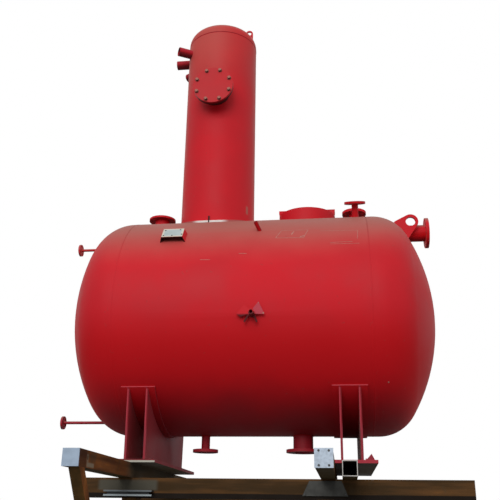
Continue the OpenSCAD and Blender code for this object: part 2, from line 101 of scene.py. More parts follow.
def bead(path, outward, width, height, steps=6):
    """A closed weld bead: half an ellipse carried along a closed path.

    At each point the section is path + width cos(v) across + height sin(v)
    outward, with v all round, so the lower half is sunk in the plate.
    """
    path = np.asarray(path)
    outward = outward / np.linalg.norm(outward, axis=1, keepdims=True)
    tangent = np.roll(path, -1, 0) - np.roll(path, 1, 0)
    tangent /= np.linalg.norm(tangent, axis=1, keepdims=True)
    across = np.cross(tangent, outward)
    v = np.linspace(0, 2 * math.pi, steps, endpoint=False)
    points = (
        path[:, None]
        + across[:, None] * (width * np.cos(v))[None, :, None]
        + outward[:, None] * (height * np.sin(v))[None, :, None]
    )
    return points.reshape(-1, 3), quads(len(path), steps, True, True)


def hex_stack(centre, axis, layers):
    """A bolt end: hexagon or round layers (sides, radius, from, to) stacked.

    Each layer is a prism with a small bevel at its far rim, placed along axis.
    """
    axis = np.asarray(axis, float) / np.linalg.norm(axis)
    side = np.cross(axis, [0.0, 0.0, 1.0] if abs(axis[2]) < 0.9 else [1.0, 0, 0])
    side /= np.linalg.norm(side)
    other = np.cross(axis, side)
    vertices, faces = [], []
    for sides, radius, low, high in layers:
        angle = np.linspace(0, 2 * math.pi, sides, endpoint=False)
        ring = np.cos(angle)[:, None] * side + np.sin(angle)[:, None] * other
        bevel = min(0.12 * radius, 0.4 * (high - low))
        rows = [
            centre + axis * low + ring * radius,
            centre + axis * (high - bevel) + ring * radius,
            centre + axis * high + ring * (radius - bevel),
        ]
        start = sum(len(part) for part in vertices)
        vertices.append(np.concatenate(rows))
        faces += quads(3, sides, False, True, start)
        faces.append([start + k for k in range(sides)][::-1])
        faces.append([start + 2 * sides + k for k in range(sides)])
    return np.concatenate(vertices), faces


def gather(parts):
    """Several (vertices, faces) parts as one."""
    vertices, faces, start = [], [], 0
    for part_vertices, part_faces in parts:
        vertices.append(part_vertices)
        faces += [[k + start for k in face] for face in part_faces]
        start += len(part_vertices)
    return np.concatenate(vertices), faces


def ring_points(centre, axis, radius, count):
    """Points evenly round a circle about an axis, straddling its top."""
    axis = np.asarray(axis, float) / np.linalg.norm(axis)
    first = np.array([1.0, 0, 0]) if abs(axis[0]) < 0.9 else np.array([0, 1.0, 0])
    other = np.cross(axis, first)
    angle = (np.arange(count) + 0.5) * 2 * math.pi / count
    return centre + radius * (
        np.cos(angle)[:, None] * first + np.sin(angle)[:, None] * other
    )


# ---------------------------------------------------------------- finishes
class Finish:
    """A material being wired: each call adds one node and returns its output."""

    def __init__(self, name, roughness, metallic=0.0):
        """Starts a material with its coordinates and its facing direction."""
        self.material = bpy.data.materials.new(name)
        self.material.use_nodes = True
        self.tree = self.material.node_tree
        self.shader = self.tree.nodes["Principled BSDF"]
        self.shader.inputs["Roughness"].default_value = roughness
        self.shader.inputs["Metallic"].default_value = metallic
        self.place = self.tree.nodes.new("ShaderNodeTexCoord").outputs["Object"]
        self.facing = self.tree.nodes.new("ShaderNodeNewGeometry").outputs["Normal"]

    def feed(self, socket, value):
        """Links an output to a socket, or sets the socket's constant."""
        if isinstance(value, bpy.types.NodeSocket):
            self.tree.links.new(value, socket)
        elif isinstance(value, tuple) and len(value) == 3 and len(
            getattr(socket, "default_value", (0, 0, 0))
        ) == 4:
            socket.default_value = (*value, 1.0)
        else:
            socket.default_value = value

    def split(self, vector):
        """The three parts of a vector."""
        node = self.tree.nodes.new("ShaderNodeSeparateXYZ")
        self.feed(node.inputs[0], vector)
        return node.outputs

    def sum(self, kind, first, second=0.0, third=0.0):
        """One Math node."""
        node = self.tree.nodes.new("ShaderNodeMath")
        node.operation = kind
        for socket, value in zip(node.inputs, (first, second, third)):
            self.feed(socket, value)
        return node.outputs[0]

    def ramp(self, value, low, high, to_low=0.0, to_high=1.0):
        """A smooth step of value from low to high."""
        node = self.tree.nodes.new("ShaderNodeMapRange")
        node.interpolation_type = "SMOOTHSTEP"
        for socket, number in zip(node.inputs, (value, low, high, to_low, to_high)):
            self.feed(socket, number)
        return node.outputs[0]

    def noise(self, scale, detail=4.0, stretch=(1.0, 1.0, 1.0)):
        """Cloudy noise on the object's own coordinates, stretched by axis."""
        mapping = self.tree.nodes.new("ShaderNodeMapping")
        self.feed(mapping.inputs["Vector"], self.place)
        mapping.inputs["Scale"].default_value = stretch
        node = self.tree.nodes.new("ShaderNodeTexNoise")
        self.feed(node.inputs["Vector"], mapping.outputs[0])
        node.inputs["Scale"].default_value = scale
        node.inputs["Detail"].default_value = detail
        return node.outputs["Fac"]

    def mix(self, share, first, second):
        """First colour turning into second by share."""
        node = self.tree.nodes.new("ShaderNodeMix")
        node.data_type = "RGBA"
        for index, value in ((0, share), (6, first), (7, second)):
            self.feed(node.inputs[index], value)
        return node.outputs[2]

    def bump(self, height, distance, strength=0.5):
        """Surface relief from a height."""
        node = self.tree.nodes.new("ShaderNodeBump")
        self.feed(node.inputs["Height"], height)
        node.inputs["Distance"].default_value = distance
        node.inputs["Strength"].default_value = strength
        self.feed(self.shader.inputs["Normal"], node.outputs[0])

    def window(self, value, low, high, soft):
        """One where value lies between low and high, fading over soft."""
        up = self.ramp(value, low - soft, low + soft)
        down = self.ramp(value, high - soft, high + soft, 1.0, 0.0)
        return self.sum("MULTIPLY", up, down)


RED = (0.62, 0.009, 0.018)
DUST_AND_GLINT_RED = (0.42, 0.140, 0.112)
SHADED_RED = (0.62, 0.001, 0.005)
UNDERSIDE_SHADE_RED = (0.17, 0.004, 0.010)
EDGE_PINK = (0.46, 0.036, 0.056)
CHALK = (0.86, 0.84, 0.80)
CLIP_BLACK = (0.018, 0.006, 0.006)


def weathered_red(
    name, base=RED, dust_and_glint=DUST_AND_GLINT_RED, roughness=0.58, mark=None, sheen=0.10
):
    """Red oxide paint, cloudy; dust and a painted glint on top, painted shade below."""
    paint = Finish(name, roughness)
    up = paint.split(paint.facing)[2]
    cloud = paint.noise(2.2, 5.0)
    fine = paint.noise(38.0, 3.0)
    tone = paint.mix(paint.ramp(cloud, 0.35, 0.7), base, tuple(c * 1.14 for c in base))
    lift = paint.sum("MULTIPLY_ADD", cloud, 0.25, -0.12)
    # paler on what faces up: dust, and a painted sky glint along the crest
    dust_and_glint_share = paint.ramp(paint.sum("ADD", up, lift), 0.28, 0.90, 0.0, 1.0)
    tone = paint.mix(dust_and_glint_share, tone, dust_and_glint)
    # painted shade: duller red on what faces down, near black in cloudy patches right
    # underneath
    shade = paint.ramp(up, 0.0, -0.4, 0.0, 0.85)
    tone = paint.mix(shade, tone, SHADED_RED)
    painted_under_shade = paint.ramp(paint.sum("ADD", up, lift), -0.55, -1.0, 0.0, 0.80)
    tone = paint.mix(painted_under_shade, tone, UNDERSIDE_SHADE_RED)
    speck = paint.ramp(fine, 0.66, 0.74, 0.0, 0.22)
    tone = paint.mix(speck, tone, (0.30, 0.06, 0.05))
    if mark:
        tone = mark(paint, tone)
    paint.feed(paint.shader.inputs["Base Color"], tone)
    paint.feed(
        paint.shader.inputs["Roughness"],
        paint.ramp(cloud, 0.3, 0.75, roughness - 0.07, roughness + 0.12),
    )
    paint.shader.inputs["Specular IOR Level"].default_value = 0.22
    paint.shader.inputs["Sheen Weight"].default_value = sheen
    paint.shader.inputs["Sheen Roughness"].default_value = 0.28
    paint.shader.inputs["Sheen Tint"].default_value = (0.85, 0.72, 0.62, 1.0)
    paint.bump(fine, 0.0006, 0.35)
    return paint.material


def chalky_weld():
    """White test coating over a weld, brightest at the front."""
    coat = Finish("chalky_weld", 0.8)
    x, y, _ = coat.split(coat.place)
    side = coat.sum("ABSOLUTE", coat.sum("SUBTRACT", x, TOWER_X - 0.01))
    share = coat.ramp(side, 0.08, 0.15)
    patch = coat.noise(60.0, 3.0)
    tone = coat.mix(coat.ramp(patch, 0.4, 0.7, 0.0, 0.25), CHALK, (0.62, 0.52, 0.48))
    tone = coat.mix(share, tone, (0.45, 0.10, 0.09))
    back = coat.ramp(y, -0.12, -0.02)
    tone = coat.mix(back, tone, (0.40, 0.06, 0.05))
    clip = coat.window(x, TOWER_X - 0.0212, TOWER_X - 0.0112, 0.001)
    tone = coat.mix(clip, tone, CLIP_BLACK)
    coat.feed(coat.shader.inputs["Base Color"], tone)
    coat.bump(patch, 0.001, 0.5)
    return coat.material


UNDERSIDE_SHADE_OLIVE = (0.056, 0.038, 0.011)
BROWN_BEAM = ((0.055, 0.030, 0.012), (0.130, 0.060, 0.021), (0.30, 0.12, 0.030))
WARM_BEAM = ((0.100, 0.036, 0.013), (0.210, 0.076, 0.022), (0.38, 0.14, 0.032))


def rusty_beam(name, streak_axis, tones=BROWN_BEAM, mark=None):
    """Brown rusted steel with orange streaks along its length and painted shade underneath.
    """
    rust = Finish(name, 0.72)
    stretch = [6.0, 6.0, 6.0]
    stretch[streak_axis] = 0.55
    streak = rust.noise(3.2, 6.0, tuple(stretch))
    cloud = rust.noise(7.0, 5.0)
    grit = rust.noise(150.0, 2.0)
    dark, brown, orange = tones
    tone = rust.mix(rust.ramp(streak, 0.36, 0.62), dark, brown)
    tone = rust.mix(rust.ramp(streak, 0.60, 0.74, 0.0, 0.8), tone, orange)
    tone = rust.mix(rust.ramp(cloud, 0.58, 0.72, 0.0, 0.5), tone, (0.060, 0.050, 0.032))
    # painted shade: dark olive on what faces down
    up = rust.split(rust.facing)[2]
    tone = rust.mix(rust.ramp(up, -0.2, -0.8, 0.0, 0.92), tone, UNDERSIDE_SHADE_OLIVE)
    if mark:
        tone = mark(rust, tone)
    rust.feed(rust.shader.inputs["Base Color"], tone)
    rust.feed(rust.shader.inputs["Roughness"], rust.ramp(cloud, 0.3, 0.7, 0.68, 0.9))
    rust.shader.inputs["Specular IOR Level"].default_value = 0.1
    rust.bump(grit, 0.0008, 0.5)
    return rust.material


def front_beam_marks(rust, tone):
    """A painted shadow along the lower edge and a bare rounded grey patch near the left
    post.
    """
    x, y, z = rust.split(rust.place)
    # painted shadow: near black along the lowest 3 cm of the beam
    low = rust.ramp(z, BEAM_BOTTOM + 0.032, BEAM_BOTTOM + 0.026)
    tone = rust.mix(low, tone, (0.016, 0.011, 0.008))
    front = rust.ramp(y, BEAM_FACE + 0.004, BEAM_FACE + 0.001)
    long = rust.window(x, -0.915, -0.535, 0.016)
    tall = rust.window(z, BEAM_BOTTOM + 0.046, BEAM_BOTTOM + 0.108, 0.009)
    patch = rust.sum("MULTIPLY", rust.sum("MULTIPLY", long, tall), front)
    return rust.mix(rust.sum("MULTIPLY", patch, 0.8), tone, (0.105, 0.100, 0.078))


def left_beam_marks(rust, tone):
    """A darker end, a painted base plate shadow, a pale angle-shaped patch with a dark oval
    in it.
    """
    _, y, z = rust.split(rust.place)
    side = rust.ramp(rust.split(rust.facing)[0], 0.5, 0.8)
    end = rust.ramp(y, -1.447, -1.455, 0.0, 0.65)
    tone = rust.mix(end, tone, (0.050, 0.022, 0.013))
    # painted shadow of the base plate on the side face, further back
    base_plate_shadow = rust.sum("MULTIPLY", side, rust.ramp(y, -0.80, -0.52, 0.0, 0.85))
    tone = rust.mix(base_plate_shadow, tone, (0.075, 0.066, 0.042))
    stem = rust.sum(
        "MULTIPLY",
        rust.window(y, -1.450, -1.420, 0.006),
        rust.window(z, AXIS_Z - 1.115, AXIS_Z - 1.050, 0.007),
    )
    stem = rust.sum("MULTIPLY", stem, 0.6)
    foot = rust.sum(
        "MULTIPLY",
        rust.window(y, -1.440, -1.330, 0.008),
        rust.window(z, AXIS_Z - 1.114, AXIS_Z - 1.092, 0.005),
    )
    pale = rust.sum("MULTIPLY", rust.sum("MAXIMUM", stem, foot), side)
    tone = rust.mix(rust.sum("MULTIPLY", pale, 0.75), tone, (0.28, 0.25, 0.18))
    oval = rust.sum(
        "MULTIPLY",
        rust.window(y, -1.442, -1.430, 0.003),
        rust.window(z, AXIS_Z - 1.078, AXIS_Z - 1.058, 0.004),
    )
    return rust.mix(rust.sum("MULTIPLY", oval, side), tone, (0.05, 0.03, 0.02))


def cut_end(rust, tone):
    """Pale bare metal on the sawn ends of the short beam."""
    _, y, _ = rust.split(rust.place)
    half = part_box("cross_beam_right")[1][1]
    reach = rust.sum("ABSOLUTE", y)
    share = rust.ramp(reach, half - 0.0030, half - 0.0010)
    return rust.mix(share, tone, (0.62, 0.60, 0.56))


def plain_metal(name, colour, roughness, metallic, mottle, scale=25.0, mark=None):
    """Dull metal or paint with a soft mottle and fine relief."""
    metal = Finish(name, roughness, metallic)
    cloud = metal.noise(scale, 5.0)
    grit = metal.noise(scale * 9, 2.0)
    other = tuple(c * mottle for c in colour)
    tone = metal.mix(metal.ramp(cloud, 0.35, 0.68), colour, other)
    if mark:
        tone = mark(metal, tone)
    metal.feed(metal.shader.inputs["Base Color"], tone)
    metal.feed(
        metal.shader.inputs["Roughness"],
        metal.ramp(cloud, 0.3, 0.7, roughness - 0.08, roughness + 0.1),
    )
    metal.bump(grit, 0.0004, 0.35)
    return metal.material


def tower_marks(paint, tone):
    """Near black foot clip, dust and painted highlight high on the left, pale scrape down
    the right.
    """
    x, y, z = paint.split(paint.place)
    proud = paint.ramp(y, -TOWER_R - 0.0004, -TOWER_R - 0.0012)
    tone = paint.mix(proud, tone, CLIP_BLACK)
    # dust and a painted highlight: paler high up, strongest on the left, the side the light
    # comes from
    high = paint.ramp(z, AXIS_Z + 1.80, AXIS_Z + 2.45)
    left = paint.ramp(x, TOWER_X + 0.20, TOWER_X - 0.06, 0.35, 1.0)
    dust_and_highlight = paint.sum("MULTIPLY", paint.sum("MULTIPLY", high, left), 0.42)
    tone = paint.mix(dust_and_highlight, tone, (0.50, 0.165, 0.125))
    round_place = paint.window(x, -0.053, -0.040, 0.003)
    tall = paint.window(z, AXIS_Z + 0.865, AXIS_Z + 0.930, 0.012)
    blotch = paint.ramp(paint.noise(30.0, 4.0, (1.0, 1.0, 0.35)), 0.40, 0.55)
    front = paint.ramp(y, -0.02, -0.05)
    share = paint.sum("MULTIPLY", paint.sum("MULTIPLY", round_place, tall), blotch)
    share = paint.sum("MULTIPLY", paint.sum("MULTIPLY", share, front), 0.6)
    return paint.mix(share, tone, (0.36, 0.19, 0.14))


def low_shadow(paint, tone):
    """Darker lower half on the little front socket."""
    _, _, z = paint.split(paint.place)
    low = paint.ramp(z, AXIS_Z - 0.118, AXIS_Z - 0.135)
    return paint.mix(low, tone, (0.11, 0.003, 0.006))


def painted_shade_below(paint, tone):
    """Painted shade: nearly black where the paint looks straight down."""
    up = paint.split(paint.facing)[2]
    return paint.mix(paint.ramp(up, 0.1, -0.5), tone, (0.060, 0.008, 0.009))


def painted_pipe_shade(paint, tone):
    """Painted shade: wine dark where the little pipes look down."""
    up = paint.split(paint.facing)[2]
    return paint.mix(paint.ramp(up, 0.0, -0.8, 0.0, 0.85), tone, (0.120, 0.010, 0.016))


def bracket_painted_shade(paint, tone):
    """Painted shade: nearly black within the open bracket and underneath it."""
    x = paint.split(paint.place)[0]
    across, _, up = paint.split(paint.facing)
    inward = paint.sum("MULTIPLY", across, paint.sum("SUBTRACT", x, PLATE[0]))
    inner = paint.ramp(inward, -0.004, -0.02)
    under = paint.ramp(up, 0.0, -0.3)
    share = paint.sum("MAXIMUM", inner, under)
    return paint.mix(share, tone, (0.022, 0.003, 0.004))


WEB_EDGES = (0.0590, 0.0672)  # pale pink stripe on a web's front face, from the saddle's middle
RIM_DROP = 0.5500  # rim of the wear plates below the tank's axis


def saddle_edges(paint, tone):
    """Painted shade on side and front faces and under base plates; pale web stripes and
    wear plate rims.
    """
    x, _, z = paint.split(paint.place)
    _, out, up = paint.split(paint.facing)
    # painted shade: darker red on faces turned sideways
    side_face_shade = paint.ramp(paint.sum("ABSOLUTE", paint.split(paint.facing)[0]), 0.7, 0.9)
    tone = paint.mix(side_face_shade, tone, (0.36, 0.022, 0.036))
    # painted shade on the front faces: dark red, save a pale pink stripe on each web; lower
    # down a duller pink, and pink on the base plates' fronts
    front = paint.ramp(out, -0.85, -0.95)
    middle_x = paint.sum("MULTIPLY", paint.sum("SIGN", x), SADDLE_X)
    across = paint.sum("ADD", paint.sum("SUBTRACT", x, middle_x), 0.0035)
    pink_stripe = paint.window(paint.sum("ABSOLUTE", across), *WEB_EDGES, 0.0008)
    edge = paint.mix(pink_stripe, (0.26, 0.006, 0.014), EDGE_PINK)
    dusky = paint.ramp(z, AXIS_Z - 0.76, AXIS_Z - 0.84)
    edge = paint.mix(dusky, edge, (0.34, 0.030, 0.046))
    plate_edge = paint.ramp(z, SADDLE_BASE + 0.023, SADDLE_BASE + 0.021)
    edge = paint.mix(plate_edge, edge, EDGE_PINK)
    tone = paint.mix(front, tone, edge)
    high = paint.sum("MULTIPLY", pink_stripe, paint.ramp(z, AXIS_Z - 0.600, AXIS_Z - 0.596))
    tone = paint.mix(high, tone, EDGE_PINK)
    rim = paint.ramp(z, AXIS_Z - RIM_DROP - 0.001, AXIS_Z - RIM_DROP + 0.001)
    tone = paint.mix(rim, tone, (0.58, 0.070, 0.090))
    foot = paint.ramp(z, SADDLE_BASE + 0.026, SADDLE_BASE + 0.021)
    bare = paint.window(x, -SADDLE_X - 0.060, 0.0, 0.006)
    thin = paint.ramp(z, SADDLE_BASE + 0.012, SADDLE_BASE + 0.011)
    upper = paint.sum("MULTIPLY", paint.sum("MULTIPLY", foot, front), bare)
    bare = paint.sum("MULTIPLY", upper, thin)
    tone = paint.mix(upper, tone, (0.20, 0.020, 0.024))
    tone = paint.mix(bare, tone, (0.52, 0.50, 0.42))
    # painted shade: dark olive where the base plates face down
    plate_underside_shade = paint.sum("MULTIPLY", foot, paint.ramp(up, -0.5, -0.8))
    return paint.mix(plate_underside_shade, tone, (0.060, 0.040, 0.011))


red_paint = weathered_red("red_paint")
tower_red = weathered_red("tower_red", mark=tower_marks, sheen=0.50)
neck_red = weathered_red("neck_red", mark=painted_shade_below)
stub_red = weathered_red("stub_red", (0.42, 0.014, 0.030), mark=painted_pipe_shade)
socket_red = weathered_red("socket_red", mark=low_shadow)
bracket_red = weathered_red("bracket_red", mark=bracket_painted_shade)
# darker, duller base: painted shade on the drain nozzles under the tank
drain_shaded_red = weathered_red("drain_shaded_red", (0.44, 0.022, 0.036), mark=painted_pipe_shade)
gauge_red = weathered_red("gauge_red", (0.44, 0.034, 0.058), mark=painted_pipe_shade)
dusty_red = weathered_red("dusty_red", (0.56, 0.070, 0.072), (0.46, 0.17, 0.14))
angled_red = weathered_red("angled_red", (0.20, 0.004, 0.010), (0.24, 0.012, 0.018))
saddle_red = weathered_red("saddle_red", mark=saddle_edges)
cover_red = weathered_red("cover_red", (0.56, 0.022, 0.028))
weld_coat = chalky_weld()
beam_along = rusty_beam("rusty_beam_along", 0)
front_beam = rusty_beam("front_beam_rust", 0, mark=front_beam_marks)
beam_across = rusty_beam("rusty_beam_across", 1)
left_beam = rusty_beam("left_beam_rust", 1, WARM_BEAM, left_beam_marks)
short_beam = rusty_beam("short_beam_rust", 1, mark=cut_end)
brace_rust = rusty_beam("brace_rust", 2, WARM_BEAM)
post_rust = rusty_beam("rusty_post", 2)
cap_paint = plain_metal("blue_grey_cap", (0.40, 0.50, 0.63), 0.5, 0.0, 0.86)
zinc = plain_metal("zinc_cap", (0.56, 0.65, 0.76), 0.45, 0.25, 0.8, 60.0)


def plate_border(metal, tone):
    """A creamy margin round the blank plate."""
    x, y, z = metal.split(metal.place)
    across = metal.sum("ABSOLUTE", metal.sum("SUBTRACT", x, PLATE[0]))
    rise = metal.sum("MULTIPLY", metal.sum("SUBTRACT", z, PLATE[2]), PLATE_UP[2])
    back = metal.sum("MULTIPLY", metal.sum("SUBTRACT", y, PLATE[1]), PLATE_UP[1])
    along = metal.sum("ABSOLUTE", metal.sum("ADD", rise, back))
    share = metal.sum(
        "MAXIMUM",
        metal.ramp(across, 0.058, 0.064),
        metal.ramp(along, 0.038, 0.043),
    )
    return metal.mix(share, tone, (0.70, 0.66, 0.56))


plate_metal = plain_metal(
    "blank_plate", (0.50, 0.58, 0.58), 0.5, 0.1, 0.88, 18.0, plate_border
)
dark_steel = plain_metal("dark_steel", (0.052, 0.051, 0.044), 0.55, 0.1, 0.75)


def shelf_edge_highlights(metal, tone):
    """Painted highlights along the front edges of the two plates of the little shelf."""
    _, _, z = metal.split(metal.place)
    front = metal.ramp(metal.split(metal.facing)[1], -0.8, -0.95)
    low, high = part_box("front_shelf")
    lower = metal.sum("MULTIPLY", front, metal.ramp(z, low[2] + 0.0115, low[2] + 0.0105))
    upper = metal.sum("MULTIPLY", front, metal.ramp(z, high[2] - 0.0115, high[2] - 0.0105))
    tone = metal.mix(lower, tone, (0.36, 0.41, 0.43))
    return metal.mix(upper, tone, (0.15, 0.17, 0.18))


shelf_steel = plain_metal(
    "shelf_steel", (0.030, 0.033, 0.036), 0.5, 0.1, 0.75, mark=shelf_edge_highlights
)
bolt_paint = weathered_red(
    "bolt_heads", (0.44, 0.165, 0.125), (0.46, 0.21, 0.16), mark=painted_shade_below
)
bare_bolt = plain_metal("bare_bolts", (0.085, 0.085, 0.085), 0.5, 0.5, 0.7, 90.0)
chalk_line = plain_metal("chalk_lines", (0.56, 0.27, 0.22), 0.9, 0.0, 0.75, 40.0)
dark_weld = weathered_red("dark_weld", (0.30, 0.004, 0.012), (0.24, 0.02, 0.02))
weld_red = weathered_red("weld_red", (0.46, 0.006, 0.015), (0.34, 0.085, 0.065))
seam_red = weathered_red("seam_red", (0.60, 0.009, 0.018), (0.32, 0.095, 0.075))

FINISHES = {
    "tower_shell": tower_red,
    "tower_head": tower_red,
    "handhole_neck": neck_red,
    "tower_stub_front": stub_red,
    "tower_stub_left": stub_red,
    "tower_stub_rear": stub_red,
    "bottom_left_nozzle": drain_shaded_red,
    "bottom_right_nozzle": drain_shaded_red,
    "lower_gauge_nozzle": gauge_red,
    "upper_gauge_nozzle": dusty_red,
    "front_socket": socket_red,
    "nameplate_bracket": bracket_red,
    "angled_socket": angled_red,
    "saddle_left": saddle_red,
    "saddle_right": saddle_red,
    "tower_foot_weld": weld_coat,
    "handhole_cover": cover_red,
    "nameplate": plate_metal,
    "left_end_cap": cap_paint,
    "right_end_cap": zinc,
    "front_shelf": shelf_steel,
    "front_gusset": dark_steel,
    "long_beam_front": front_beam,
    "long_beam_back": beam_along,
    "cross_beam_left": left_beam,
    "cross_beam_right": short_beam,
    "bracket_beam": beam_across,
    "knee_brace_front": brace_rust,
    "knee_brace_back": brace_rust,
}
for node_name, solid in NODES.items():
    finish = FINISHES.get(
        node_name, post_rust if node_name.startswith("post_") else red_paint
    )
    for material_slot in solid.material_slots:
        material_slot.link = "OBJECT"
        material_slot.material = finish

# ---------------------------------------------------------------- weld beads
TURN = np.linspace(0, 2 * math.pi, 180, endpoint=False)


def seam_ring(x, radius, width, height):
    """A bead round the tank: a circle of the tank's radius at one x."""
    across = np.stack([0 * TURN, np.cos(TURN), np.sin(TURN)], 1)
    path = across * radius + np.array([x, 0, AXIS_Z])
    return bead(path, across, width, height)


def foot_ring(x, pipe_r):
    """A bead where an upright pipe meets the tank's top or bottom.

    The path is the pipe's circle dropped on the tank: height is the root of
    the tank radius squared less the distance across squared.
    """
    px = x + pipe_r * np.cos(TURN)
    py = pipe_r * np.sin(TURN)
    up = np.sqrt(TANK_R**2 - py**2)
    path = np.stack([px, py, up], 1)
    normal = np.stack([np.cos(TURN) * 0.7, np.sin(TURN) * 0.7 + py, up], 1)
    return path, normal


def pipe_beads():
    """Fillet beads at the feet of the upright nozzles and the manway."""
    parts = []
    for node, pipe_r, sign in (
        ("top_left_nozzle", 0.0580, 1),
        ("top_right_nozzle", 0.0390, 1),
        ("manway_collar", 0.2190, 1),
        ("bottom_left_nozzle", 0.0310, -1),
        ("bottom_right_nozzle", 0.0710, -1),
    ):
        path, normal = foot_ring(middle(node)[0], pipe_r)
        turn = np.array([1, 1, sign])
        parts.append(
            bead(path * turn + [0, 0, AXIS_Z], normal * turn, FOOT_BEAD, FOOT_BEAD)
        )
    return gather(parts)


add_mesh(
    "tank_seam_beads",
    *gather(
        [
            seam_ring(-SEAM_X, TANK_R, SEAM_BEAD, 0.0012),
            seam_ring(SEAM_X, TANK_R, SEAM_BEAD, 0.0012),
        ]
    ),
    seam_red,
    "red_paint",
)
add_mesh("nozzle_foot_beads", *pipe_beads(), weld_red, "red_paint")

circle = np.stack([np.cos(TURN), np.sin(TURN), 0 * TURN], 1)
add_mesh(
    "tower_seam_bead",
    *bead(circle * TOWER_R + [TOWER_X, 0, TOWER_SEAM], circle, SEAM_BEAD, 0.0014),
    dark_weld,
    "red_paint",
)

# ---------------------------------------------------------------- bolts
HAND_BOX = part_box("handhole_cover")
HAND_Z = middle("handhole_cover")[2]


def handhole_bolts():
    """Bolt heads on the cover's face and nuts behind the flange."""
    front = np.array([TOWER_X, HAND_BOX[0][1], HAND_Z])
    back = front + [0, HAND_GRIP, 0]
    parts = []
    for offset in ring_points(np.zeros(3), [0, -1, 0], HAND_PCD_R, 8):
        parts.append(
            hex_stack(
                front + offset,
                [0, -1, 0],
                [(20, 0.0165, -SINK, 0.003), (6, 0.0140, 0.003, 0.017)],
            )
        )
        parts.append(
            hex_stack(
                back + offset,
                [0, 1, 0],
                [(6, 0.0135, -SINK, 0.013), (14, 0.008, 0.013, 0.020)],
            )
        )
    return gather(parts)


add_mesh("handhole_bolts", *handhole_bolts(), bolt_paint, "red_paint")

yoke = middle("manway_yoke")
yoke_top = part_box("manway_yoke")[1][2]
add_mesh(
    "manway_nut",
    *hex_stack(
        np.array([yoke[0], 0, yoke_top]),
        [0, 0, 1],
        [(24, 0.026, -SINK, 0.004), (6, 0.020, 0.004, 0.022)],
    ),
    weld_red,
    "red_paint",
)


def cap_screws():
    """Four screw heads on the zinc end cap."""
    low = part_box("right_end_cap")[0]
    parts = []
    for across in (0.022, 0.072):
        for up in (0.012, 0.082):
            parts.append(
                hex_stack(
                    np.array([low[0] + across, low[1], low[2] + up]),
                    [0, -1, 0],
                    [(12, 0.0062, -0.0003, 0.0004)],
                )
            )
    return gather(parts)


add_mesh("cap_screws", *cap_screws(), bare_bolt, "galvanised")

low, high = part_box("front_gusset")
add_mesh(
    "gusset_bolts",
    *gather(
        [
            hex_stack(
                np.array([x, low[1], low[2] + 0.010]),
                [0, -1, 0],
                [(6, 0.007, -0.0003, 0.005)],
            )
            for x in (low[0] + 0.015, high[0] - 0.015)
        ]
    ),
    bare_bolt,
    "dark_steel",
)


# ---------------------------------------------------------------- nameplate
def plate_rivets():
    """Rivets near the plate's corners and the middle of its lower edge."""
    spots = [
        (-0.0565, 0.031),
        (0.0480, 0.036),
        (-0.0600, -0.037),
        (0.0000, -0.039),
        (0.0660, -0.027),
    ]
    parts = []
    for across, up in spots:
        centre = PLATE + PLATE_UP * up + PLATE_OUT * 0.001
        centre = centre + np.array([across, 0, 0])
        parts.append(hex_stack(centre, PLATE_OUT, [(10, 0.0050, -SINK, 0.0028)]))
    return gather(parts)


add_mesh("plate_rivets", *plate_rivets(), bare_bolt, "nameplate_metal")


# ---------------------------------------------------------------- marks
def tank_stroke(points, width, lift=0.0006):
    """A thin stroke lying on the tank along points (x, angle from the top).

    Each point sits on the tank's circle: across is minus radius times the sine
    of the angle, up is radius times its cosine.
    """
    points = np.asarray(points, float)
    x, angle = points[:, 0], points[:, 1]
    radius = TANK_R + lift
    centre = np.stack([x, -radius * np.sin(angle), radius * np.cos(angle)], 1)
    normal = np.stack([0 * x, -np.sin(angle), np.cos(angle)], 1)
    tangent = np.gradient(centre, axis=0)
    tangent /= np.linalg.norm(tangent, axis=1, keepdims=True)
    side = np.cross(normal, tangent) * width / 2
    rows = np.stack([centre - side, centre + side], 1).reshape(-1, 3)
    return rows + [0, 0, AXIS_Z], quads(len(points), 2, False, False)


def polyline(corners, step=0.02):
    """Points every step along straight runs between corners."""
    corners = np.asarray(corners, float)
    runs = []
    for start, stop in zip(corners[:-1], corners[1:]):
        count = max(3, int(np.linalg.norm(stop - start) / step))
        runs.append(start + (stop - start) * np.linspace(0, 1, count)[:, None])
    return runs


def chalk_marks():
    """A chalk rectangle, a fainter one beside it, and a few scratches."""
    parts = []
    box = [(0.262, 0.844), (0.446, 0.849), (0.416, 0.979), (0.225, 0.970)]
    for run in polyline(box + box[:1]):
        parts.append(tank_stroke(run, 0.0032))
    for corners, width in (
        ([(0.528, 0.875), (0.785, 0.885)], 0.0024),
        ([(0.785, 0.885), (0.778, 1.018)], 0.0020),
        ([(0.597, 1.059), (0.745, 1.055)], 0.0028),
        ([(0.596, 1.079), (0.790, 1.080)], 0.0022),
        ([(0.347, 0.870), (0.332, 0.922)], 0.0065),
        ([(0.391, 0.966), (0.420, 0.946)], 0.0070),
        ([(-0.019, 1.160), (0.035, 1.163)], 0.0028),
        ([(-0.279, 1.219), (-0.210, 1.222)], 0.0028),
    ):
        for run in polyline(corners):
            parts.append(tank_stroke(run, width))
    return gather(parts)


add_mesh("chalk_marks", *chalk_marks(), chalk_line, "red_paint")


def tank_point(x, angle, radius):
    """Place and outward direction at an angle round the tank from its top."""
    out = np.array([0, -math.sin(angle), math.cos(angle)])
    return np.array([x, 0, AXIS_Z]) + out * radius, out


def small_dots(spots, size, height):
    """Low round dots on the tank from (x, angle, radius) spots."""
    parts = []
    for x, angle, radius in spots:
        centre, out = tank_point(x, angle, radius)
        parts.append(hex_stack(centre, out, [(12, size, -SINK, height)]))
    return gather(parts)


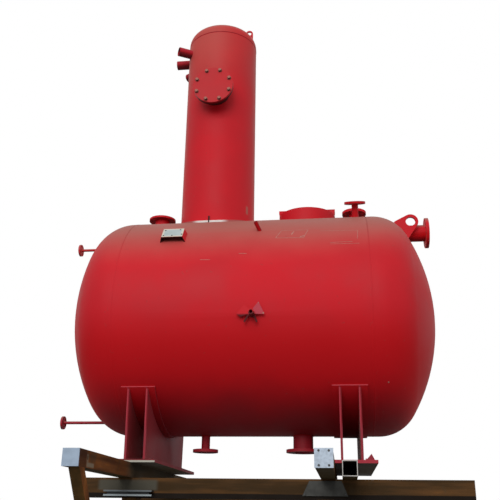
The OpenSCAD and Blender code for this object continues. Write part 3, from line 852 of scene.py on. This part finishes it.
WEEP_STEP = 0.105  # weep hole from the middle of its wear plate
WEEP_ANGLE = 2.376  # and from the top of the tank, in radians
weep_hole_shade_dots = [
    (sign * SADDLE_X + step, angle, WEAR_R)
    for sign in (-1, 1)
    for step in (-WEEP_STEP, WEEP_STEP)
    for angle in (WEEP_ANGLE, -WEEP_ANGLE)
]
# weep holes drawn as low dark dots: painted shade in place of the holes
add_mesh("weep_hole_shade_dots", *small_dots(weep_hole_shade_dots, 0.0050, 0.0008), dark_weld, "red_paint")
pale_dot = plain_metal("pale_dots", (0.50, 0.20, 0.16), 0.7, 0.0, 0.85, 90.0)
add_mesh(
    "pale_paint_dots",
    *small_dots([(-0.504, 0.939, TANK_R), (0.9395, 2.301, 0.7965)], 0.0055, 0.0012),
    pale_dot,
    "red_paint",
)


def flat_prism(corners, front, thickness):
    """A thin upright plate: its (x, z) outline carried a little way back."""
    corners = np.asarray(corners, float)
    face = np.stack([corners[:, 0], 0 * corners[:, 0] + front, corners[:, 1]], 1)
    back = face + [0, thickness, 0]
    count = len(corners)
    faces = quads(2, count, False, True)
    faces = [corner[::-1] for corner in faces]
    faces += [list(range(count)), list(range(count, 2 * count))[::-1]]
    return np.concatenate([face, back]), faces


WING_Y = -TANK_R - 0.0135  # front of the worn wing plate
WING_T = 0.0018
wing = np.array(
    [[0.0912, -0.0897], [0.1102, -0.1271], [0.1666, -0.1283], [0.1278, -0.0436]]
)
# a pale pink sheet laid on the front of the right wing
wing_paint = weathered_red("pale_pink_wing", (0.52, 0.060, 0.085), roughness=0.7)
add_mesh(
    "front_socket_wing",
    *flat_prism(wing + [0, AXIS_Z], WING_Y, WING_T),
    wing_paint,
    "red_paint",
)
add_mesh(
    "front_socket_tacks",
    *gather(
        [
            hex_stack(
                np.array([x, WING_Y, AXIS_Z + z]), [0, -1, 0], [(12, size, -0.0004, 0.0012)]
            )
            for x, z, size in ((0.1594, -0.1215, 0.0058), (0.1279, -0.0540, 0.0032))
        ]
    ),
    pale_dot,
    "red_paint",
)

# ---------------------------------------------------------------- studio
FLOOR_HALF = 15.0
floor = Finish("pale_floor", 0.9)
floor.shader.inputs["Base Color"].default_value = (0.27, 0.27, 0.27, 1.0)
mesh = bpy.data.meshes.new("floor")
mesh.from_pydata(
    [
        (-FLOOR_HALF, -FLOOR_HALF, 0),
        (FLOOR_HALF, -FLOOR_HALF, 0),
        (FLOOR_HALF, FLOOR_HALF, 0),
        (-FLOOR_HALF, FLOOR_HALF, 0),
    ],
    [],
    [(0, 1, 2, 3)],
)
mesh.materials.append(floor.material)
ground = bpy.data.objects.new("floor", mesh)
bpy.context.scene.collection.objects.link(ground)

world = bpy.data.worlds.new("studio")
world.use_nodes = True
bpy.context.scene.world = world
# the camera sees plain white; the light comes from a sky that darkens downward
tree = world.node_tree
backdrop = tree.nodes["Background"]
backdrop.inputs["Color"].default_value = (1.0, 1.0, 1.0, 1.0)
backdrop.inputs["Strength"].default_value = 1.0
sky = tree.nodes.new("ShaderNodeBackground")
sky.inputs["Color"].default_value = (0.97, 0.985, 1.0, 1.0)
height = tree.nodes.new("ShaderNodeSeparateXYZ")
tree.links.new(
    tree.nodes.new("ShaderNodeTexCoord").outputs["Generated"], height.inputs[0]
)
rise = tree.nodes.new("ShaderNodeMapRange")
for socket_name, number in (
    ("From Min", -0.15),
    ("From Max", 0.20),
    ("To Min", 0.05),
    ("To Max", 0.62),
):
    rise.inputs[socket_name].default_value = number
tree.links.new(height.outputs[2], rise.inputs["Value"])
tree.links.new(rise.outputs[0], sky.inputs["Strength"])
seen = tree.nodes.new("ShaderNodeMixShader")
tree.links.new(
    tree.nodes.new("ShaderNodeLightPath").outputs["Is Camera Ray"], seen.inputs[0]
)
tree.links.new(sky.outputs[0], seen.inputs[1])
tree.links.new(backdrop.outputs[0], seen.inputs[2])
tree.links.new(seen.outputs[0], tree.nodes["World Output"].inputs["Surface"])
bpy.context.scene.view_settings.view_transform = "Standard"


def soft_light(name, place, target, size, power):
    """A square area light aimed from place at target."""
    light = bpy.data.lights.new(name, "AREA")
    light.size = size
    light.energy = power
    lamp = bpy.data.objects.new(name, light)
    bpy.context.scene.collection.objects.link(lamp)
    direction = np.asarray(target, float) - np.asarray(place, float)
    back = -direction / np.linalg.norm(direction)
    right = np.cross([0, 1.0, 0.01], back)
    right /= np.linalg.norm(right)
    up = np.cross(back, right)
    turn = Matrix(np.stack([right, up, back], 1).tolist()).to_4x4()
    turn.translation = place
    lamp.matrix_world = turn


soft_light("front", (-1.3, -11.0, 8.0), (0, 0, 3.2), 7.0, 590)
soft_light("right", (9.0, -5.0, 4.5), (0, 0, 3.0), 3.0, 38)

# ---------------------------------------------------------------- camera
# Turned from +Y by YAW about Z, then up by PITCH, then rolled about its axis
EYE = np.array([0.6325, -5.2244, AXIS_Z - 1.3713])
YAW, PITCH, ROLL = 0.12729, 0.36169, 0.01461
camera_data = bpy.data.cameras.new("camera")
camera_data.sensor_width = 36.0
camera_data.lens = 51.687
camera_data.clip_start = 0.1
camera = bpy.data.objects.new("camera", camera_data)
bpy.context.scene.collection.objects.link(camera)
ahead = np.array(
    [
        -math.sin(YAW) * math.cos(PITCH),
        math.cos(YAW) * math.cos(PITCH),
        math.sin(PITCH),
    ]
)
level = np.array([math.cos(YAW), math.sin(YAW), 0.0])
over = np.cross(level, ahead)
right = math.cos(ROLL) * level + math.sin(ROLL) * over
up = -math.sin(ROLL) * level + math.cos(ROLL) * over
pose = Matrix(np.stack([right, up, -ahead], 1).tolist()).to_4x4()
pose.translation = EYE
camera.matrix_world = pose
bpy.context.scene.camera = camera
